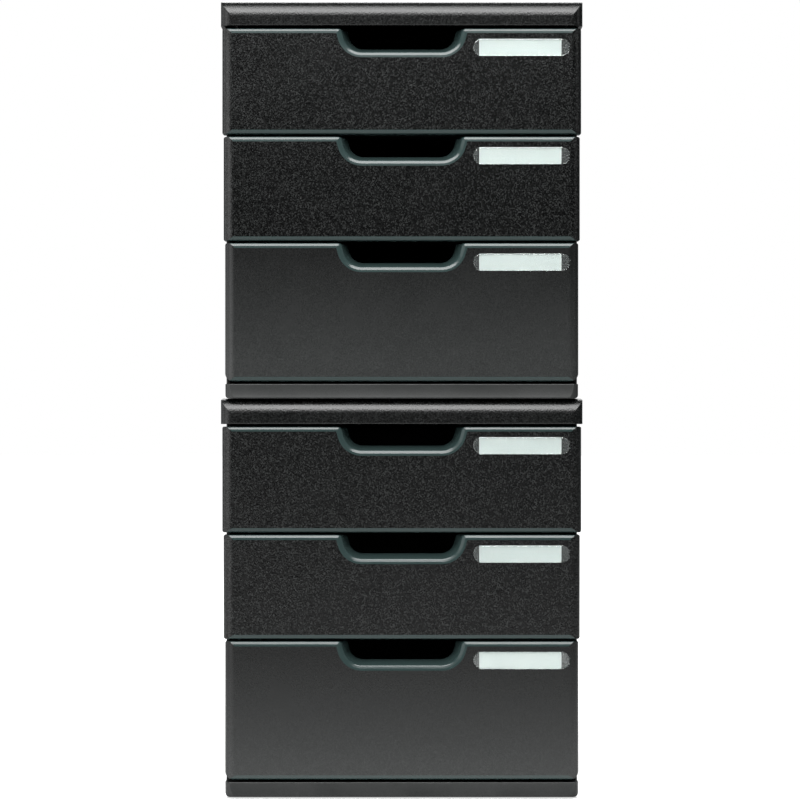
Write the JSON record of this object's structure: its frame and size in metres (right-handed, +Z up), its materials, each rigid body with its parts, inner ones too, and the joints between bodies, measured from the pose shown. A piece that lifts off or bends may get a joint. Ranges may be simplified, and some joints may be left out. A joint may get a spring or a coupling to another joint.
{
  "type": "desktop drawer organizer",
  "caption": "Stacked desktop drawer modules in black moulded plastic, with pull-out trays, finger cutouts and clear label holders.",
  "frame": {"origin": "on the floor, under the middle of the stack", "axes": "+Z up, drawers open towards -Y, +X to the right as seen from the front"},
  "size_m": [0.292, 0.35, 0.6435],
  "materials": {
    "case": "moulded black plastic with a pebbled grain",
    "front": "moulded black plastic, grained face with smooth bevels",
    "tray": "plain moulded black plastic",
    "window": "clear polished plastic",
    "label": "plain pale card",
    "foot": "matt soft pad"
  },
  "bodies": {
    "lower_case": {"lower_top_cover": "case", "lower_base": "case", "lower_feet": "foot", "lower_back_panel": "case", "lower_right_side": "case", "lower_left_side": "case"},
    "lower_top_drawer": {"lower_top_drawer_tray": "tray", "lower_top_drawer_front": "front", "lower_top_drawer_window": "window", "lower_top_drawer_card": "label"},
    "lower_middle_drawer": {"lower_middle_drawer_tray": "tray", "lower_middle_drawer_front": "front", "lower_middle_drawer_window": "window", "lower_middle_drawer_card": "label"},
    "lower_bottom_drawer": {"lower_bottom_drawer_tray": "tray", "lower_bottom_drawer_front": "front", "lower_bottom_drawer_window": "window", "lower_bottom_drawer_card": "label"},
    "upper_case": {"upper_top_cover": "case", "upper_base": "case", "upper_feet": "foot", "upper_back_panel": "case", "upper_right_side": "case", "upper_left_side": "case"},
    "upper_top_drawer": {"upper_top_drawer_tray": "tray", "upper_top_drawer_front": "front", "upper_top_drawer_window": "window", "upper_top_drawer_card": "label"},
    "upper_middle_drawer": {"upper_middle_drawer_tray": "tray", "upper_middle_drawer_front": "front", "upper_middle_drawer_window": "window", "upper_middle_drawer_card": "label"},
    "upper_bottom_drawer": {"upper_bottom_drawer_tray": "tray", "upper_bottom_drawer_front": "front", "upper_bottom_drawer_window": "window", "upper_bottom_drawer_card": "label"}
  },
  "joints": [
    {"name": "upper_module_lift", "type": "slide", "parent": "lower_case", "child": "upper_case", "axis": [0, 0, 1], "range_m": [0, 0.03]},
    {"name": "lower_top_drawer_slide", "type": "slide", "parent": "lower_case", "child": "lower_top_drawer", "axis": [0, -1, 0], "range_m": [0, 0.26]},
    {"name": "lower_middle_drawer_slide", "type": "slide", "parent": "lower_case", "child": "lower_middle_drawer", "axis": [0, -1, 0], "range_m": [0, 0.26]},
    {"name": "lower_bottom_drawer_slide", "type": "slide", "parent": "lower_case", "child": "lower_bottom_drawer", "axis": [0, -1, 0], "range_m": [0, 0.26]},
    {"name": "upper_top_drawer_slide", "type": "slide", "parent": "upper_case", "child": "upper_top_drawer", "axis": [0, -1, 0], "range_m": [0, 0.26]},
    {"name": "upper_middle_drawer_slide", "type": "slide", "parent": "upper_case", "child": "upper_middle_drawer", "axis": [0, -1, 0], "range_m": [0, 0.26]},
    {"name": "upper_bottom_drawer_slide", "type": "slide", "parent": "upper_case", "child": "upper_bottom_drawer", "axis": [0, -1, 0], "range_m": [0, 0.26]}
  ]
}
